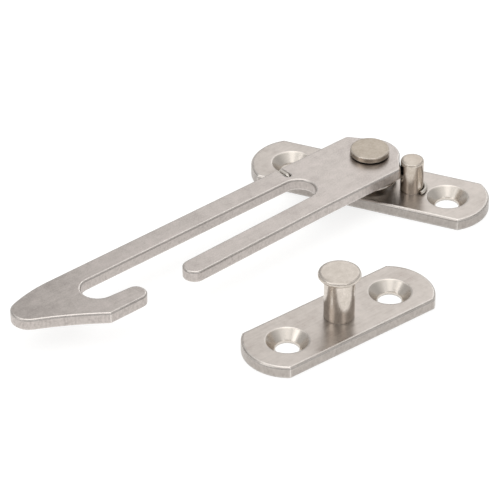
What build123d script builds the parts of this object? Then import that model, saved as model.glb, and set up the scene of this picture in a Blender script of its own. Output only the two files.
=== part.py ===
from build123d import *
import math
import os

# Side-hung window restrictor in two loose halves, in satin stainless steel.
# Hinged half: a plate with a shouldered pivot rivet, a stop pin, a torsion spring and a hook arm.
# Keep half: a shorter plate with a mushroom-headed stud.
# Row frame, mm: origin on the pivot axis at the frame plate's back, +Z up out of the plate,
# the arm at rest points to -X. Both plates have their backs on z = 0.

# Plates
PLATE_T = 3.0
PLATE_W = 18.0
PLATE_END_R = 11.3
FRAME_STRAIGHT = 53.1
FRAME_SCREWS = 41.4
FRAME_TURN = -63.6
KEEP_STRAIGHT = 44.0
KEEP_SCREWS = 31.4
KEEP_TURN = -2.75
KEEP_AT = (-45.0, -38.07)
SCREW_HOLE_D = 5.8
SCREW_SINK_D = 10.4
SCREW_SINK_ANGLE = 90.0
PLATE_EDGE = 0.4
PLATE_BACK_EDGE = 0.15

# Arm, with u along it from the pivot and v across it towards the keep plate.
# What belongs to the nose is measured back from its tip.
ARM_T = 3.0
ARM_W = 20.0
ARM_LIFT = 4.5
ARM_LENGTH = 108.8
ARM_EDGE = 0.3
ARM_LOW_EDGE = 0.2
HEAD_PROUD = 0.31
SHOULDER_ANGLE = 52.0
SHOULDER_CORNER_R = 1.6
SLOT_W = 8.4
SLOT_ROOT_U = 23.7
SLOT_END_BACK = 21.95
PRONG_TIP_BACK = 41.9
PRONG_SPLAY = 0.9
FINGER_TIP_BACK = 30.0
FINGER_TIP_R = 2.7
NOSE_CORNER_BACK = 17.6
NOSE_NEAR_R = 90.0
NOSE_TIP_R = 4.5
NOSE_FAR_BACK = 14.3
NOSE_FAR_R = 36.0
SLIT_U = 21.5
SLIT_W = 1.6

# Pivot rivet
SHOULDER_D = 9.0
JOURNAL_D = 6.4
JOURNAL_CLEARANCE = 0.06
SHOULDER_PLAY = 0.05
HEAD_PLAY = 0.2
HEAD_D = 9.75
HEAD_T = 1.6
HEAD_EDGE_R = 0.25

# Stop pin
STOP_OUT = 1.3
STOP_D = 5.8
STOP_H = 8.8
STOP_EDGE_R = 0.6
STOP_PLAY = 0.1

# Keep stud
STUD_SHANK_D = 7.4
STUD_HEAD_D = 10.3
STUD_H = 12.6
STUD_RIM_T = 1.2
STUD_CONE_T = 0.8
STUD_TOP_EDGE_R = 0.7
STUD_LOW_EDGE = 0.2

# Rivet tails, closed flush into a sink at the back of each plate
PIVOT_TENON_D = 5.5
STOP_TENON_D = 4.0
STUD_TENON_D = 5.0
TAIL_SINK = 0.6

# Torsion spring
WIRE_D = 1.0
WIRE_SIDES = 8
COIL_R = 6.5
COIL_STEP = 1.3
COIL_TURNS = 2
WIRE_PLAY = 0.05
LEG_PLAY = 0.2
LEG_BEND_R = 1.0
LEG_TOP_GAP = 0.5
HOOK_SWEEP = 103.0

# Sizes that follow from those above
half_w = PLATE_W / 2
arm_half = ARM_W / 2
arm_low = PLATE_T + ARM_LIFT
arm_top = arm_low + ARM_T
slot_r = SLOT_W / 2
slot_end_u = ARM_LENGTH - SLOT_END_BACK
finger_tip_u = ARM_LENGTH - FINGER_TIP_BACK
corner_u = ARM_LENGTH - NOSE_CORNER_BACK
far_u = ARM_LENGTH - NOSE_FAR_BACK
stop_at = arm_half + STOP_OUT
wire_r = WIRE_D / 2


def polar(radius, degrees):
    a = math.radians(degrees)
    return (radius * math.cos(a), radius * math.sin(a))


def plate_outline(straight):
    # Parallel sides joined by bowed ends that meet them at blunt corners.
    half = straight / 2
    bow = PLATE_END_R - math.sqrt(PLATE_END_R**2 - half_w**2)
    far_side = Line((-half, half_w), (half, half_w))
    right_end = ThreePointArc((half, half_w), (half + bow, 0), (half, -half_w))
    near_side = Line((half, -half_w), (-half, -half_w))
    left_end = ThreePointArc((-half, -half_w), (-half - bow, 0), (-half, half_w))
    return make_face([far_side, right_end, near_side, left_end])


def countersunk_hole(at):
    # Cone from the front face, then a short plain hole to the back.
    depth = (SCREW_SINK_D - SCREW_HOLE_D) / 2 / math.tan(math.radians(SCREW_SINK_ANGLE / 2))
    low = (Align.CENTER, Align.CENTER, Align.MIN)
    hole = Cylinder(SCREW_HOLE_D / 2, PLATE_T, align=low)
    sink = Cone(SCREW_HOLE_D / 2, SCREW_SINK_D / 2, depth, align=low)
    return Pos(at, 0, 0) * hole + Pos(at, 0, PLATE_T - depth) * sink


def rivet_tail(tenon_d):
    # Tenon through a plate, closed out into a small sink at the back.
    r = tenon_d / 2
    profile = Polyline((0, 0), (r + TAIL_SINK, 0), (r, TAIL_SINK), (r, PLATE_T), (0, PLATE_T), close=True)
    return revolve(Plane.XZ * make_face(profile.edges()), Axis.Z)


def plate(straight, screws, tails):
    body = extrude(plate_outline(straight), PLATE_T)
    body = chamfer(body.faces().sort_by(Axis.Z)[-1].outer_wire().edges(), PLATE_EDGE)
    body = chamfer(body.faces().sort_by(Axis.Z)[0].outer_wire().edges(), PLATE_BACK_EDGE)
    for side in (-1, 1):
        body -= countersunk_hole(side * screws / 2)
    for at, tenon_d in tails:
        body -= Pos(at, 0, 0) * rivet_tail(tenon_d)
    return body


def turned(points, tenon_d):
    # A turned pin: its profile above the plate, with the rivet tail below.
    outline = Polyline((0, PLATE_T), *points, close=True)
    return revolve(Plane.XZ * make_face(outline.edges()), Axis.Z) + rivet_tail(tenon_d)


def rounded(radius, level, edge_r):
    # Profile points of a turned outer edge, from its side to its top, softened in two facets.
    inset = edge_r * (1 - math.sqrt(0.5))
    return [(radius, level - edge_r), (radius - inset, level - inset), (radius - edge_r, level)]


# Frame plate, its long axis turned so that the resting arm lies along -X
frame_place = Rot(0, 0, FRAME_TURN)
frame_tails = [(0, PIVOT_TENON_D), (stop_at, STOP_TENON_D)]
frame_plate = frame_place * plate(FRAME_STRAIGHT, FRAME_SCREWS, frame_tails)

# Keep plate, lying loose beside the hinged half
keep_place = Pos(KEEP_AT[0], KEEP_AT[1], 0) * Rot(0, 0, KEEP_TURN)
keep_plate = keep_place * plate(KEEP_STRAIGHT, KEEP_SCREWS, [(0, STUD_TENON_D)])

# Prong beside the slot, sprung a little outwards, with a full-round tip
prong_r = (arm_half - slot_r) / 2
prong_c = (ARM_LENGTH - PRONG_TIP_BACK - prong_r, slot_r + prong_r + PRONG_SPLAY)
splay = math.degrees(math.atan2(PRONG_SPLAY, prong_c[0] - SLOT_ROOT_U))
side = polar(prong_r, splay + 90)
tip = polar(prong_r, splay)
prong_out = (prong_c[0] + side[0], prong_c[1] + side[1])
prong_tip = (prong_c[0] + tip[0], prong_c[1] + tip[1])
prong_in = (prong_c[0] - side[0], prong_c[1] - side[1])

# Finger of the hook: its inner edge touches the slot's end round and its own tip round.
finger_c = (finger_tip_u + FINGER_TIP_R, arm_half - FINGER_TIP_R)
gap = (finger_c[0] - slot_end_u, finger_c[1])
lean = math.degrees(math.atan2(gap[1], gap[0]))
lean -= math.degrees(math.acos((slot_r + FINGER_TIP_R) / math.hypot(*gap)))
n = polar(1, lean)
inner_start = (slot_end_u + slot_r * n[0], slot_r * n[1])
inner_end = (finger_c[0] - FINGER_TIP_R * n[0], finger_c[1] - FINGER_TIP_R * n[1])
n = polar(slot_r, (lean - 90) / 2)
slot_end_mid = (slot_end_u + n[0], n[1])

# Nose: its tip round touches the far flank from inside and the hollow near flank from outside.
far_c = (far_u, NOSE_FAR_R - arm_half)
tip_u = ARM_LENGTH - NOSE_TIP_R
tip_v = far_c[1] - math.sqrt((NOSE_FAR_R - NOSE_TIP_R) ** 2 - (tip_u - far_c[0]) ** 2)
far_way = math.degrees(math.atan2(tip_v - far_c[1], tip_u - far_c[0]))
reach = polar(NOSE_FAR_R, far_way)
far_end = (far_c[0] + reach[0], far_c[1] + reach[1])
reach = polar(NOSE_FAR_R, (far_way - 90) / 2)
far_mid = (far_c[0] + reach[0], far_c[1] + reach[1])
span = math.hypot(tip_u - corner_u, tip_v - arm_half)
reach_c = NOSE_NEAR_R + NOSE_TIP_R
swing = math.acos((span**2 + NOSE_NEAR_R**2 - reach_c**2) / (2 * span * NOSE_NEAR_R))
heading = math.atan2(tip_v - arm_half, tip_u - corner_u) + swing
near_c = (corner_u + NOSE_NEAR_R * math.cos(heading), arm_half + NOSE_NEAR_R * math.sin(heading))
near_way = math.degrees(math.atan2(tip_v - near_c[1], tip_u - near_c[0]))
corner_way = math.degrees(math.atan2(arm_half - near_c[1], corner_u - near_c[0]))
reach = polar(NOSE_NEAR_R, near_way)
near_end = (near_c[0] + reach[0], near_c[1] + reach[1])
reach = polar(NOSE_NEAR_R, (near_way + corner_way) / 2)
near_mid = (near_c[0] + reach[0], near_c[1] + reach[1])

# Stop shoulders: each flat stands one play off the stop pin when the arm is at its limit,
# and the head's round stands a little proud of the flats.
pin_u, pin_v = polar(stop_at, FRAME_TURN + 180)
along = polar(1, SHOULDER_ANGLE)
offset = pin_v * along[0] - pin_u * along[1] - STOP_D / 2 - STOP_PLAY
shoulder_u = (arm_half * along[0] - offset) / along[1]
head_r = offset + HEAD_PROUD
half_flat = math.sqrt(head_r**2 - offset**2)
head_u = -offset * along[1] + half_flat * along[0]
head_v = offset * along[0] + half_flat * along[1]

# Slit for the spring's leg, its round end a little play short of the leg
slit_r = SLIT_W / 2
slit_end_v = COIL_R - wire_r - LEG_PLAY
slit_c = slit_end_v + slit_r

outline = [
    Line((shoulder_u, arm_half), (SLOT_ROOT_U, arm_half)),
    Line((SLOT_ROOT_U, arm_half), prong_out),
    ThreePointArc(prong_out, prong_tip, prong_in),
    Line(prong_in, (SLOT_ROOT_U, slot_r)),
    ThreePointArc((SLOT_ROOT_U, slot_r), (SLOT_ROOT_U - slot_r, 0), (SLOT_ROOT_U, -slot_r)),
    Line((SLOT_ROOT_U, -slot_r), (slot_end_u, -slot_r)),
    ThreePointArc((slot_end_u, -slot_r), slot_end_mid, inner_start),
    Line(inner_start, inner_end),
    ThreePointArc(inner_end, (finger_tip_u, finger_c[1]), (finger_c[0], arm_half)),
    Line((finger_c[0], arm_half), (corner_u, arm_half)),
    ThreePointArc((corner_u, arm_half), near_mid, near_end),
    ThreePointArc(near_end, (ARM_LENGTH, tip_v), far_end),
    ThreePointArc(far_end, far_mid, (far_u, -arm_half)),
    Line((far_u, -arm_half), (SLIT_U + slit_r, -arm_half)),
    Line((SLIT_U + slit_r, -arm_half), (SLIT_U + slit_r, -slit_c)),
    ThreePointArc((SLIT_U + slit_r, -slit_c), (SLIT_U, -slit_end_v), (SLIT_U - slit_r, -slit_c)),
    Line((SLIT_U - slit_r, -slit_c), (SLIT_U - slit_r, -arm_half)),
    Line((SLIT_U - slit_r, -arm_half), (shoulder_u, -arm_half)),
    Line((shoulder_u, -arm_half), (head_u, -head_v)),
    ThreePointArc((head_u, -head_v), (-head_r, 0), (head_u, head_v)),
    Line((head_u, head_v), (shoulder_u, arm_half)),
]
arm = Pos(0, 0, arm_low) * extrude(make_face(outline), ARM_T)
corners = arm.edges().filter_by(Axis.Z)
corners = corners.filter_by(lambda e: math.hypot(e.center().X - shoulder_u, abs(e.center().Y) - arm_half) < 0.01)
arm = fillet(corners, SHOULDER_CORNER_R)
arm = chamfer(arm.faces().sort_by(Axis.Z)[-1].outer_wire().edges(), ARM_EDGE)
arm = chamfer(arm.faces().sort_by(Axis.Z)[0].outer_wire().edges(), ARM_LOW_EDGE)
bore_r = JOURNAL_D / 2 + JOURNAL_CLEARANCE
arm -= Pos(0, 0, arm_low + ARM_T / 2) * Cylinder(bore_r, ARM_T)
hook_arm = Rot(0, 0, 180) * arm

# Pivot rivet: shoulder that carries the arm, journal in the arm's bore, flat head above
shoulder_top = arm_low - SHOULDER_PLAY
head_low = arm_top + HEAD_PLAY
head_top = head_low + HEAD_T
rivet_points = [
    (SHOULDER_D / 2, PLATE_T),
    (SHOULDER_D / 2, shoulder_top),
    (JOURNAL_D / 2, shoulder_top),
    (JOURNAL_D / 2, head_low),
    (HEAD_D / 2 - HEAD_EDGE_R, head_low),
    (HEAD_D / 2, head_low + HEAD_EDGE_R),
    *rounded(HEAD_D / 2, head_top, HEAD_EDGE_R),
    (0, head_top),
]
pivot_rivet = frame_place * turned(rivet_points, PIVOT_TENON_D)

# Stop pin
stop_top = PLATE_T + STOP_H
stop_points = [(STOP_D / 2, PLATE_T), *rounded(STOP_D / 2, stop_top, STOP_EDGE_R), (0, stop_top)]
stop_pin = frame_place * Pos(stop_at, 0, 0) * turned(stop_points, STOP_TENON_D)

# Keep stud: shank, coned underside, soft rim, flat top
stud_top = PLATE_T + STUD_H
rim_low = stud_top - STUD_RIM_T
cone_low = rim_low - STUD_CONE_T
cone_slope = (STUD_HEAD_D - STUD_SHANK_D) / 2 / STUD_CONE_T
stud_points = [
    (STUD_SHANK_D / 2, PLATE_T),
    (STUD_SHANK_D / 2, cone_low),
    (STUD_HEAD_D / 2 - cone_slope * STUD_LOW_EDGE, rim_low - STUD_LOW_EDGE),
    (STUD_HEAD_D / 2, rim_low + STUD_LOW_EDGE),
    *rounded(STUD_HEAD_D / 2, stud_top, STUD_TOP_EDGE_R),
    (0, stud_top),
]
keep_stud = keep_place * turned(stud_points, STUD_TENON_D)

# Torsion spring, all in one wire: a hook round the stop pin, a low leg, a coil and a leg in the slit.
# The coil's far side is level, and each half turn after it is a half ring tipped about X.
foot_z = PLATE_T + WIRE_PLAY + wire_r
leg_z = foot_z + COIL_STEP * COIL_TURNS
hook_r = STOP_D / 2 + WIRE_PLAY + wire_r
leave = 90 - math.degrees(math.asin((COIL_R - hook_r) / stop_at)) + FRAME_TURN
stop_x, stop_y = polar(stop_at, FRAME_TURN)


def section(at, way):
    return Plane(origin=at, z_dir=way) * RegularPolygon(wire_r, WIRE_SIDES, rotation=180 / WIRE_SIDES)


def rod(start, end):
    way = Vector(*end) - Vector(*start)
    return extrude(section(start, way), way.length)


def half_turn(k):
    y = COIL_R if k % 2 == 0 else -COIL_R
    low = foot_z + COIL_STEP * k / 2
    tipped = Vector(0, y * COIL_STEP / 4 / COIL_R, COIL_R)
    return revolve(section((0, y, low), (1, 0, 0)), Axis((0, 0, low + COIL_STEP / 4), tipped), 180)


coil_start = (*polar(COIL_R, leave), foot_z)
hook_x, hook_y = polar(hook_r, leave)
hook_start = (stop_x + hook_x, stop_y + hook_y, foot_z)
bend_start = (-SLIT_U + LEG_BEND_R, COIL_R, leg_z)
stub_start = (-SLIT_U, COIL_R, leg_z + LEG_BEND_R)
hook_way = Vector(*hook_start) - Vector(*coil_start)
bend_axis = Axis((-SLIT_U + LEG_BEND_R, COIL_R, leg_z + LEG_BEND_R), (0, 1, 0))
torsion_spring = revolve(section(hook_start, hook_way), Axis((stop_x, stop_y, foot_z), (0, 0, -1)), HOOK_SWEEP)
torsion_spring += rod(coil_start, hook_start)
torsion_spring += revolve(section((0, COIL_R, foot_z), (1, 0, 0)), Axis((0, 0, foot_z), (0, 0, -1)), 90 - leave)
for k in range(2 * COIL_TURNS):
    torsion_spring += half_turn(k)
torsion_spring += rod((0, COIL_R, leg_z), bend_start)
torsion_spring += revolve(section(bend_start, (-1, 0, 0)), bend_axis, 90)
torsion_spring += rod(stub_start, (-SLIT_U, COIL_R, arm_top - LEG_TOP_GAP))

nodes = {
    "frame_plate": frame_plate,
    "pivot_rivet": pivot_rivet,
    "stop_pin": stop_pin,
    "torsion_spring": torsion_spring,
    "hook_arm": hook_arm,
    "keep_plate": keep_plate,
    "keep_stud": keep_stud,
}
os.makedirs("parts", exist_ok=True)
for name, shape in nodes.items():
    export_step(shape.solids()[0], "parts/" + name + ".step")
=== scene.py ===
import math

import bpy
from mathutils import Matrix, Vector


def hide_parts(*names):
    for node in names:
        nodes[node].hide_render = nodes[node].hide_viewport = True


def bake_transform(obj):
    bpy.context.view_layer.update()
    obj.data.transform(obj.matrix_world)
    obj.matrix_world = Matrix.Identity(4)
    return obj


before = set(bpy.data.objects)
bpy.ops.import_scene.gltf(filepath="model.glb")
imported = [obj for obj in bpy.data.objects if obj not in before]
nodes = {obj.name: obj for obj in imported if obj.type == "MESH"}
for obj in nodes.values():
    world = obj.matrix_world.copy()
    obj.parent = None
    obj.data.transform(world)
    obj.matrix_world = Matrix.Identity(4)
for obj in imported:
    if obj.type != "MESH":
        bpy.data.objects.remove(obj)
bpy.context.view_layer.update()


# ---------------------------------------------------------------- frame plate
# The plate that is screwed to the window frame: cut from 3 mm stainless strip, its two
# screw holes countersunk on a drill, then tumbled with stones until the edges were soft.

frame_angle = -63.6
frame_holes_mm = ((9.204, -18.541), (-9.204, 18.541))


def linear(code):
    # An sRGB hex colour as the linear values that a shader takes.
    out = []
    for k in (0, 2, 4):
        c = int(code[k:k + 2], 16) / 255
        out.append(c / 12.92 if c <= 0.04045 else ((c + 0.055) / 1.055) ** 2.4)
    return (*out, 1.0)


def add_node(tree, kind, settings=None, values=None, links=None):
    # A node with its settings, its sockets' values, and the outputs that feed its sockets.
    # Math, Mix and Map Range sockets share their names, so they go by number.
    node = tree.nodes.new(kind)
    for name, value in (settings or {}).items():
        setattr(node, name, value)
    for name, value in (values or {}).items():
        node.inputs[name].default_value = value
    for name, source in (links or {}).items():
        tree.links.new(source, node.inputs[name])
    return node


def tumbled_stainless(name, greys, gloss, grain_share, deepest, shade_mm, side_shade_share, edge_mm,
                      dark_line_mm, holes_mm=(), along=0.0):
    # Stainless strip from the tumbler: a matt, faintly cloudy grey of close tones, with a dull
    # grain and faint rubs along the strip. The stones have polished the edges, which are
    # glossier, and a thin bright line is painted along them as a highlight. The stones' grain is
    # about
    # 0.05 mm, too fine to show here, so it is drawn at 0.35 mm. Blanked sides are torn; a dark
    # line is painted just under the top edge as the shade below that highlight, and the sides are
    # painted darker as shade (the arm's a little lighter, as painted light). Countersinks keep
    # the drill's shine, and shade is painted into the colour where pieces nearly touch.
    cloud_mm, blotch_mm, grain_mm = 8, 2.2, 0.35
    rub_mm, torn_mm = (12, 0.6, 0.6), (0.6, 0.6, 0.9)
    blotch_share, rub_share, torn_share = 0.5, 0.22, 0.55
    grey_at, tone_low, tone_high, dull_by = (0.38, 0.5, 0.62), 0.36, 0.64, 0.12
    side_below, shade_full, shade_gone = 0.2, 0.2, 0.6
    dark_line_half_mm, dark_line_fade_mm, dark_line_tone = 0.06, 0.2, 0.64
    edge_starts, edge_full, edge_highlight_share, edge_gloss, edge_highlight_colour = 0.995, 0.95, 0.85, 0.2, "F0EBE6"
    sink_mm, sink_gloss, sink_colour = 5.24, 0.26, "D3CCC4"
    rim_mm, rim_fade_mm, rim_highlight_share = 5.8, 6.2, 0.35
    grain_bump, grain_deep_mm, no_grain = 0.08, 0.03, 0.5

    steel = bpy.data.materials.new(name)
    steel.use_nodes = True
    tree = steel.node_tree
    tree.nodes.clear()
    place = add_node(tree, "ShaderNodeTexCoord").outputs["Object"]
    normal = add_node(tree, "ShaderNodeNewGeometry").outputs["Normal"]
    level = add_node(tree, "ShaderNodeSeparateXYZ", links={0: place}).outputs[2]

    clouds, blotches, grain = [
        add_node(tree, "ShaderNodeTexNoise",
                 values={"Scale": 1000 / size, "Detail": detail, "Roughness": uneven},
                 links={"Vector": place}).outputs[0]
        for size, detail, uneven in (
            (cloud_mm, 2.0, 0.55), (blotch_mm, 3.0, 0.65), (grain_mm, 1.0, 0.5))]
    rubs, torn = [
        add_node(tree, "ShaderNodeMapping",
                 values={"Rotation": (0, 0, turn), "Scale": [1 / size for size in sizes]},
                 links={"Vector": place}).outputs[0]
        for turn, sizes in ((-along, rub_mm), (0, torn_mm))]
    rubs, torn = [
        add_node(tree, "ShaderNodeTexNoise",
                 values={"Scale": 1000, "Detail": detail, "Roughness": uneven},
                 links={"Vector": streak}).outputs[0]
        for streak, detail, uneven in ((rubs, 2.0, 0.6), (torn, 3.0, 0.7))]

    upright = add_node(tree, "ShaderNodeSeparateXYZ", links={0: normal}).outputs[2]
    upright = add_node(tree, "ShaderNodeMath", {"operation": "ABSOLUTE"},
                       links={0: upright}).outputs[0]
    side = add_node(tree, "ShaderNodeMath", {"operation": "LESS_THAN"}, {1: side_below},
                    {0: upright}).outputs[0]
    tone = clouds
    for share, marks in ((blotch_share, blotches), (rub_share, rubs), (grain_share, grain)):
        tone = add_node(tree, "ShaderNodeMix", {"data_type": "FLOAT"}, {0: share},
                        {2: tone, 3: marks}).outputs[0]
    torn_side = add_node(tree, "ShaderNodeMath", {"operation": "MULTIPLY"}, {1: torn_share},
                         {0: side}).outputs[0]
    tone = add_node(tree, "ShaderNodeMix", {"data_type": "FLOAT"},
                    links={0: torn_side, 2: tone, 3: torn}).outputs[0]
    grey = add_node(tree, "ShaderNodeValToRGB", links={0: tone})
    grey.color_ramp.elements.new(grey_at[1])
    for stop, at, code in zip(grey.color_ramp.elements, grey_at, greys):
        stop.position = at
        stop.color = linear(code)
    colour, height = grey.outputs[0], grain
    dull = add_node(tree, "ShaderNodeMapRange",
                    values={1: tone_low, 2: tone_high, 3: gloss, 4: gloss + dull_by},
                    links={0: tone}).outputs[0]

    # Painted shade: the colour is darkened where pieces nearly touch.
    shade = add_node(tree, "ShaderNodeAmbientOcclusion", {"samples": 8},
                     {"Distance": shade_mm / 1000}).outputs["AO"]
    painted_shade_and_tone = add_node(tree, "ShaderNodeMapRange",
                     values={1: shade_full, 2: shade_gone, 3: deepest, 4: 1.0},
                     links={0: shade}).outputs[0]
    # Painted shade on the side faces: the plates' sides are darker, the arm's a little lighter.
    painted_side_shade = add_node(tree, "ShaderNodeMapRange", values={3: 1.0, 4: side_shade_share},
                         links={0: side}).outputs[0]
    # A painted dark line just under the top edge, as the shade below the edge's bright line.
    off_dark_line = add_node(tree, "ShaderNodeMath", {"operation": "SUBTRACT"}, {1: dark_line_mm / 1000},
                        {0: level}).outputs[0]
    off_dark_line = add_node(tree, "ShaderNodeMath", {"operation": "ABSOLUTE"},
                        links={0: off_dark_line}).outputs[0]
    painted_dark_line = add_node(tree, "ShaderNodeMapRange",
                    values={1: dark_line_half_mm / 1000, 2: dark_line_fade_mm / 1000, 3: dark_line_tone, 4: 1.0},
                    links={0: off_dark_line}).outputs[0]
    for darker in (painted_side_shade, painted_dark_line):
        painted_shade_and_tone = add_node(tree, "ShaderNodeMath", {"operation": "MULTIPLY"},
                         links={0: painted_shade_and_tone, 1: darker}).outputs[0]

    # Painted highlight: where the bevel normal leans away the colour turns bright; these edges
    # are also glossier.
    soft_edge = add_node(tree, "ShaderNodeBevel", {"samples": 8},
                         {"Radius": edge_mm / 1000}).outputs[0]
    lean = add_node(tree, "ShaderNodeVectorMath", {"operation": "DOT_PRODUCT"},
                    links={0: soft_edge, 1: normal}).outputs["Value"]
    edge_polish_and_highlight = add_node(tree, "ShaderNodeMapRange",
                      values={1: edge_starts, 2: edge_full, 3: 0.0, 4: edge_highlight_share},
                      links={0: lean}).outputs[0]

    flat = add_node(tree, "ShaderNodeVectorMath", {"operation": "MULTIPLY"}, {1: (1, 1, 0)},
                    {0: place}).outputs[0]
    for x, y in holes_mm:
        away = add_node(tree, "ShaderNodeVectorMath", {"operation": "DISTANCE"},
                        {1: (x / 1000, y / 1000, 0)}, {0: flat}).outputs["Value"]
        inside = add_node(tree, "ShaderNodeMath", {"operation": "LESS_THAN"},
                          {1: sink_mm / 1000}, {0: away}).outputs[0]
        dull, painted_shade_and_tone, height = [
            add_node(tree, "ShaderNodeMix", {"data_type": "FLOAT"}, {3: drilled},
                     {0: inside, 2: tumbled}).outputs[0]
            for tumbled, drilled in ((dull, sink_gloss), (painted_shade_and_tone, 1.0), (height, no_grain))]
        colour = add_node(tree, "ShaderNodeMix", {"data_type": "RGBA"}, {7: linear(sink_colour)},
                          {0: inside, 6: colour}).outputs[2]
        # Inside the countersink the painted edge highlight is weaker, except near its rim.
        rim_highlight = add_node(tree, "ShaderNodeMapRange",
                       values={1: rim_mm / 1000, 2: rim_fade_mm / 1000, 3: rim_highlight_share, 4: 1.0},
                       links={0: away}).outputs[0]
        edge_polish_and_highlight = add_node(tree, "ShaderNodeMath", {"operation": "MULTIPLY"},
                          links={0: edge_polish_and_highlight, 1: rim_highlight}).outputs[0]

    dull = add_node(tree, "ShaderNodeMix", {"data_type": "FLOAT"}, {3: edge_gloss},
                    {0: edge_polish_and_highlight, 2: dull}).outputs[0]
    shown = add_node(tree, "ShaderNodeMix", {"data_type": "RGBA"}, {7: linear(edge_highlight_colour)},
                     {0: edge_polish_and_highlight, 6: colour}).outputs[2]
    shown = add_node(tree, "ShaderNodeMix", {"data_type": "RGBA", "blend_type": "MULTIPLY"},
                     {0: 1.0}, {6: shown, 7: painted_shade_and_tone}).outputs[2]
    bump = add_node(tree, "ShaderNodeBump",
                    values={"Strength": grain_bump, "Distance": grain_deep_mm / 1000},
                    links={"Height": height, "Normal": soft_edge}).outputs[0]
    metal = add_node(tree, "ShaderNodeBsdfPrincipled", values={"Metallic": 1.0},
                     links={"Base Color": shown, "Roughness": dull, "Normal": bump})
    add_node(tree, "ShaderNodeOutputMaterial", links={"Surface": metal.outputs[0]})
    return steel


def give_finish(mesh, steel):
    # The whole piece in one finish, as it comes from the tumbler or the lathe.
    mesh.materials.clear()
    mesh.materials.append(steel)


frame_steel = tumbled_stainless(
    "stainless_tumbled_frame_plate", ("A79F99", "B6AFA9", "C2BAB4"), gloss=0.27, grain_share=0.1,
    deepest=0.4, shade_mm=0.9, side_shade_share=0.84, edge_mm=0.8, dark_line_mm=2.5,
    holes_mm=frame_holes_mm, along=math.radians(frame_angle))
give_finish(nodes["frame_plate"].data, frame_steel)


# ------------------------------------------------------------------- stop pin
# The plain pin that the arm's shoulder rests against: turned from stainless rod and riveted
# into the plate from behind. The tumbler has dulled its top, and its side is still bright.

pin_at_mm = (5.024, -10.122)


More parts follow.
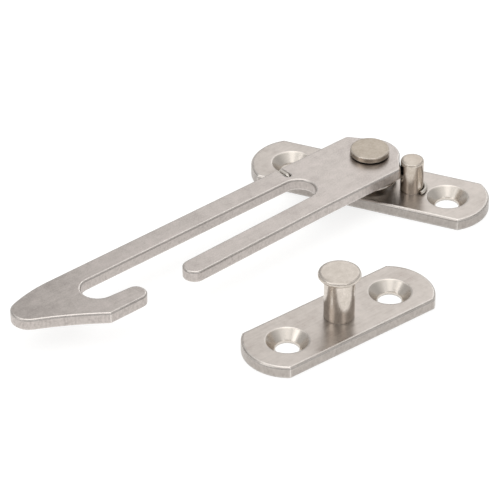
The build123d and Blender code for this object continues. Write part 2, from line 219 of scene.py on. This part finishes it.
def turned_stainless(name, greys, axis_mm, side_gloss, top_gloss, darkest):
    # Stainless off the lathe: bright sides with fine tool rings, a duller faced top, and a
    # slightly warmer grey than the strip. Shade is painted into the colour where pieces nearly
    # touch, and a bright line along the edges is a painted highlight. Tool rings are 0.1 mm
    # apart, too fine to show here, so they are drawn at 0.3 mm.
    blotch_mm, grain_mm, ring_mm, grain_share = 2.2, 0.4, 0.3, 0.35
    grey_at, side_below, top_above, top_tone = (0.36, 0.64), 0.3, 0.95, 0.8
    shade_mm, shade_full, shade_gone = 1.2, 0.3, 0.75
    edge_mm, edge_starts, edge_full, edge_highlight_share, edge_highlight_colour = 0.5, 0.995, 0.9, 0.7, "EFE9E2"
    ring_bump, ring_deep_mm = 0.06, 0.02

    steel = bpy.data.materials.new(name)
    steel.use_nodes = True
    tree = steel.node_tree
    tree.nodes.clear()
    place = add_node(tree, "ShaderNodeTexCoord").outputs["Object"]
    normal = add_node(tree, "ShaderNodeNewGeometry").outputs["Normal"]
    level = add_node(tree, "ShaderNodeSeparateXYZ", links={0: place}).outputs[2]

    blotches, grain = [
        add_node(tree, "ShaderNodeTexNoise",
                 values={"Scale": 1000 / size, "Detail": detail, "Roughness": uneven},
                 links={"Vector": place}).outputs[0]
        for size, detail, uneven in ((blotch_mm, 3.0, 0.65), (grain_mm, 1.0, 0.5))]
    tone = add_node(tree, "ShaderNodeMix", {"data_type": "FLOAT"}, {0: grain_share},
                    {2: blotches, 3: grain}).outputs[0]
    grey = add_node(tree, "ShaderNodeValToRGB", links={0: tone})
    for stop, at, code in zip(grey.color_ramp.elements, grey_at, greys):
        stop.position = at
        stop.color = linear(code)

    flat = add_node(tree, "ShaderNodeVectorMath", {"operation": "MULTIPLY"}, {1: (1, 1, 0)},
                    {0: place}).outputs[0]
    away = add_node(tree, "ShaderNodeVectorMath", {"operation": "DISTANCE"},
                    {1: (axis_mm[0] / 1000, axis_mm[1] / 1000, 0)}, {0: flat}).outputs["Value"]
    reach = add_node(tree, "ShaderNodeMath", {"operation": "ADD"},
                     links={0: away, 1: level}).outputs[0]
    turns = add_node(tree, "ShaderNodeMath", {"operation": "MULTIPLY"},
                     {1: 2 * math.pi * 1000 / ring_mm}, {0: reach}).outputs[0]
    rings = add_node(tree, "ShaderNodeMath", {"operation": "SINE"}, links={0: turns}).outputs[0]

    upright = add_node(tree, "ShaderNodeSeparateXYZ", links={0: normal}).outputs[2]
    dull, tint = [
        add_node(tree, "ShaderNodeMapRange",
                 values={1: side_below, 2: top_above, 3: on_side, 4: on_top},
                 links={0: upright}).outputs[0]
        for on_side, on_top in ((side_gloss, top_gloss), (1.0, top_tone))]
    # Painted shade: the colour is darkened where pieces nearly touch.
    shade = add_node(tree, "ShaderNodeAmbientOcclusion", {"samples": 6},
                     {"Distance": shade_mm / 1000}).outputs["AO"]
    painted_shade_and_tone = add_node(tree, "ShaderNodeMapRange",
                     values={1: shade_full, 2: shade_gone, 3: darkest, 4: 1.0},
                     links={0: shade}).outputs[0]
    painted_shade_and_tone = add_node(tree, "ShaderNodeMath", {"operation": "MULTIPLY"},
                     links={0: painted_shade_and_tone, 1: tint}).outputs[0]
    shown = add_node(tree, "ShaderNodeMix", {"data_type": "RGBA", "blend_type": "MULTIPLY"},
                     {0: 1.0}, {6: grey.outputs[0], 7: painted_shade_and_tone}).outputs[2]

    # Painted highlight: the edges' colour turns bright where the bevel normal leans away.
    soft_edge = add_node(tree, "ShaderNodeBevel", {"samples": 6},
                         {"Radius": edge_mm / 1000}).outputs[0]
    lean = add_node(tree, "ShaderNodeVectorMath", {"operation": "DOT_PRODUCT"},
                    links={0: soft_edge, 1: normal}).outputs["Value"]
    edge_polish_and_highlight = add_node(tree, "ShaderNodeMapRange",
                      values={1: edge_starts, 2: edge_full, 3: 0.0, 4: edge_highlight_share},
                      links={0: lean}).outputs[0]
    shown = add_node(tree, "ShaderNodeMix", {"data_type": "RGBA"}, {7: linear(edge_highlight_colour)},
                     {0: edge_polish_and_highlight, 6: shown}).outputs[2]
    bump = add_node(tree, "ShaderNodeBump",
                    values={"Strength": ring_bump, "Distance": ring_deep_mm / 1000},
                    links={"Height": rings, "Normal": soft_edge}).outputs[0]
    metal = add_node(tree, "ShaderNodeBsdfPrincipled", values={"Metallic": 1.0},
                     links={"Base Color": shown, "Roughness": dull, "Normal": bump})
    add_node(tree, "ShaderNodeOutputMaterial", links={"Surface": metal.outputs[0]})
    return steel


pin_steel = turned_stainless("stainless_turned_stop_pin", ("BFB4A8", "D1C7BC"), pin_at_mm,
                             side_gloss=0.19, top_gloss=0.3, darkest=0.4)
give_finish(nodes["stop_pin"].data, pin_steel)


# ------------------------------------------------------------- torsion spring
# One length of 1 mm stainless spring wire: hooked round the stop pin and staying there,
# coiled twice round the rivet's shoulder, and bent up into the arm's slit, along which its
# end is folded.

wire_r, coil_r, coil_step, coil_turns = 0.5, 6.5, 1.3, 2
foot_z, leg_z, tail_z = 3.55, 6.15, 10.0
hook_r, hook_sweep, pin_out = 3.45, 103.0, 11.3
slit_x, bend_r, fold_r, tail_y = -21.22, 1.0, 0.7, 9.6
arc_step, half_steps, bend_steps, fold_steps, round_sides = 6.0, 30, 12, 9, 5
leave = 90 - math.degrees(math.asin((coil_r - hook_r) / pin_out)) + frame_angle


def low_arc(centre, radius, start, sweep):
    # Points in mm on a level arc of wire, at the height of the spring's foot.
    count = max(2, math.ceil(abs(sweep) / arc_step) + 1)
    points = []
    for k in range(count):
        a = math.radians(start + sweep * (k / (count - 1)))
        points.append(Vector((centre[0] + radius * math.cos(a), centre[1] + radius * math.sin(a),
                              foot_z)))
    return points


centreline = low_arc(pin_at_mm, hook_r, leave - hook_sweep, hook_sweep)
centreline += low_arc((0, 0), coil_r, leave, 90 - leave)
for half in range(2 * coil_turns):
    low = foot_z + coil_step * half / 2
    for k in range(1, half_steps + 1):
        a = math.pi / 2 + math.pi * (half + k / half_steps)
        share = (1 - math.cos(math.pi * k / half_steps)) / 2
        centreline.append(Vector((coil_r * math.cos(a), coil_r * math.sin(a),
                                  low + coil_step / 2 * share)))
for k in range(bend_steps + 1):
    a = math.radians(90 * k / bend_steps)
    centreline.append(Vector((slit_x + bend_r - bend_r * math.sin(a), coil_r,
                              leg_z + bend_r - bend_r * math.cos(a))))
for k in range(fold_steps + 1):
    a = math.radians(90 * k / fold_steps)
    centreline.append(Vector((slit_x, coil_r + fold_r - fold_r * math.cos(a),
                              tail_z - fold_r + fold_r * math.sin(a))))
centreline.append(Vector((slit_x, tail_y, tail_z)))

wire_curve = bpy.data.curves.new("torsion_spring_wire", "CURVE")
wire_curve.dimensions = "3D"
wire_curve.bevel_depth = wire_r / 1000
wire_curve.bevel_resolution = round_sides
wire_curve.use_fill_caps = True
line = wire_curve.splines.new("POLY")
line.points.add(len(centreline) - 1)
for point, at in zip(line.points, centreline):
    point.co = (*(at / 1000), 1)
wire_form = bpy.data.objects.new("wire_form", wire_curve)
bpy.context.scene.collection.objects.link(wire_form)
bpy.context.view_layer.update()
spring_mesh = bpy.data.meshes.new_from_object(wire_form)
bpy.data.objects.remove(wire_form)
for face in spring_mesh.polygons:
    face.use_smooth = len(face.vertices) == 4
spring = bpy.data.objects.new("torsion_spring_wire", spring_mesh)
bpy.context.scene.collection.objects.link(spring)
# Drawn wire is as smooth as a turned pin. Its colour is made lighter as a painted highlight on
# the coil under the arm, and it gets no painted shade.
spring_steel = turned_stainless("stainless_spring_wire", ("CCC6BE", "DED9D2"), (0, 0),
                                side_gloss=0.16, top_gloss=0.4, darkest=1.0)
give_finish(spring_mesh, spring_steel)
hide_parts("torsion_spring")
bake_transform(spring)


# ------------------------------------------------------------------- hook arm
# The slotted arm that swings on the rivet: blanked from 3 mm stainless strip, with a slot
# open at one side, a hooked end and a pointed nose. Tumbled like the plate.

# The arm gets deep painted shade in its slit and by the rivet, and a little painted light on its
# sides.
arm_steel = tumbled_stainless(
    "stainless_tumbled_arm", ("A49C98", "B6AFAA", "C4BBB7"), gloss=0.28, grain_share=0.3,
    deepest=0.12, shade_mm=4.0, side_shade_share=1.08, edge_mm=0.5, dark_line_mm=10.12)
give_finish(nodes["hook_arm"].data, arm_steel)


# ---------------------------------------------------------------- pivot rivet
# The shouldered rivet that holds the arm down and lets it turn: turned stainless, with a
# flat head whose face is a little warmer and duller than the arm.

rivet_steel = turned_stainless("stainless_turned_pivot_rivet", ("AEA395", "C2B7AA"), (0, 0),
                               side_gloss=0.24, top_gloss=0.34, darkest=1.0)
give_finish(nodes["pivot_rivet"].data, rivet_steel)


# ----------------------------------------------------------------- keep plate
# The plate that is screwed to the sash: the same strip, cut shorter, with the same holes
# and the same tumbled finish.

keep_angle = -2.75
keep_holes_mm = ((-29.318, -38.823), (-60.682, -37.317))
keep_steel = tumbled_stainless(
    "stainless_tumbled_keep_plate", ("A79F99", "B6AFA9", "C2BAB4"), gloss=0.27, grain_share=0.06,
    deepest=0.4, shade_mm=0.9, side_shade_share=0.92, edge_mm=0.7, dark_line_mm=2.5,
    holes_mm=keep_holes_mm, along=math.radians(keep_angle))
give_finish(nodes["keep_plate"].data, keep_steel)


# ------------------------------------------------------------------ keep stud
# The mushroom-headed stud that the arm's slot catches: turned stainless, riveted into the
# keep plate, its shank bright and its head dulled by the tumbler.

stud_at_mm = (-45.0, -38.07)
stud_steel = turned_stainless("stainless_turned_keep_stud", ("C6BDB3", "DAD1C8"), stud_at_mm,
                              side_gloss=0.2, top_gloss=0.34, darkest=0.4)
give_finish(nodes["keep_stud"].data, stud_steel)


# ------------------------------------------------------- floor, light, camera
# A white acrylic table lit from below, under a dim studio sky that is brightest overhead.
# The back softbox lights the tops, the key one the countersinks and near edges, and the
# left and right ones show in the turned sides and in the plate before the stud.

floor_half, floor_drop = 6, 0.00002
floor_mesh = bpy.data.meshes.new("floor")
floor_mesh.from_pydata([(-floor_half, -floor_half, 0), (floor_half, -floor_half, 0),
                        (floor_half, floor_half, 0), (-floor_half, floor_half, 0)],
                       [], [(0, 1, 2, 3)])
floor = bpy.data.objects.new("floor", floor_mesh)
floor.location.z = -floor_drop
bpy.context.scene.collection.objects.link(floor)
# White acrylic, cast matt: it glows evenly, so that the part throws hardly any shadow.
acrylic = bpy.data.materials.new("white_acrylic_lit_from_below")
acrylic.use_nodes = True
top = acrylic.node_tree.nodes["Principled BSDF"]
top.inputs["Base Color"].default_value = linear("A0A09F")
top.inputs["Roughness"].default_value = 0.9
top.inputs["Specular IOR Level"].default_value = 0.1
top.inputs["Emission Color"].default_value = (1.0, 1.0, 1.0, 1)
top.inputs["Emission Strength"].default_value = 0.76
floor_mesh.materials.append(acrylic)

sky_strength, horizon, zenith = 3.4, (0.2, 0.199, 0.197, 1), (0.5, 0.497, 0.493, 1)
sky_levels, sky_tint = ((0.3, 0.17), (0.57, 0.15), (0.8, 0.27), (0.92, 0.38)), (1, 0.995, 0.985)
world = bpy.data.worlds.new("studio_sky")
bpy.context.scene.world = world
world.use_nodes = True
tree = world.node_tree
tree.nodes.clear()
way = add_node(tree, "ShaderNodeTexCoord").outputs["Generated"]
height = add_node(tree, "ShaderNodeSeparateXYZ", links={0: way}).outputs[2]
sky = add_node(tree, "ShaderNodeValToRGB", links={0: height})
sky.color_ramp.elements[0].position = 0.0
sky.color_ramp.elements[0].color = horizon
sky.color_ramp.elements[1].position = 0.99
sky.color_ramp.elements[1].color = zenith
for position, level in sky_levels:
    stop = sky.color_ramp.elements.new(position)
    stop.color = (*(level * part for part in sky_tint), 1)
glow = add_node(tree, "ShaderNodeBackground", values={"Strength": sky_strength},
                links={"Color": sky.outputs[0]})
add_node(tree, "ShaderNodeOutputWorld", links={"Surface": glow.outputs[0]})

lit_spot = Vector((-0.04, 0, 0))
for name, size, energy, at in (
        ("back_softbox", 0.55, 0.86, (0.575, 0.4, 0.52)),
        ("key_softbox", 0.34, 0.2, (-0.26, -0.25, 0.68)),
        ("left_softbox", 0.5, 1.15, (-0.857, 0.101, 0.568)),
        ("right_softbox", 0.32, 0.42, (-0.155, -0.815, 0.568))):
    softbox = bpy.data.lights.new(name, "AREA")
    softbox.shape = "SQUARE"
    softbox.size = size
    softbox.energy = energy
    holder = bpy.data.objects.new(name, softbox)
    holder.location = at
    holder.rotation_mode = "QUATERNION"
    holder.rotation_quaternion = (holder.location - lit_spot).to_track_quat("Z", "Y")
    bpy.context.scene.collection.objects.link(holder)

turn, rise, roll = math.radians(-41.024), math.radians(34.568), math.radians(-0.259)
looked_at, distance = Vector((-0.03998, -0.00042, 0)), 0.81107
back = Vector((math.sin(turn) * math.cos(rise), -math.cos(turn) * math.cos(rise), math.sin(rise)))
right = Vector((math.cos(turn), math.sin(turn), 0))
up = back.cross(right)
level_right = right * math.cos(roll) + up * math.sin(roll)
level_up = up * math.cos(roll) - right * math.sin(roll)
lens = bpy.data.cameras.new("camera")
lens.sensor_width, lens.lens = 36, 239.27
lens.clip_start, lens.clip_end = 0.01, 50
camera = bpy.data.objects.new("camera", lens)
camera.matrix_world = (Matrix.Translation(looked_at + back * distance)
                       @ Matrix((level_right, level_up, back)).transposed().to_4x4())
bpy.context.scene.collection.objects.link(camera)
bpy.context.scene.camera = camera
bpy.context.scene.view_settings.view_transform = "Standard"
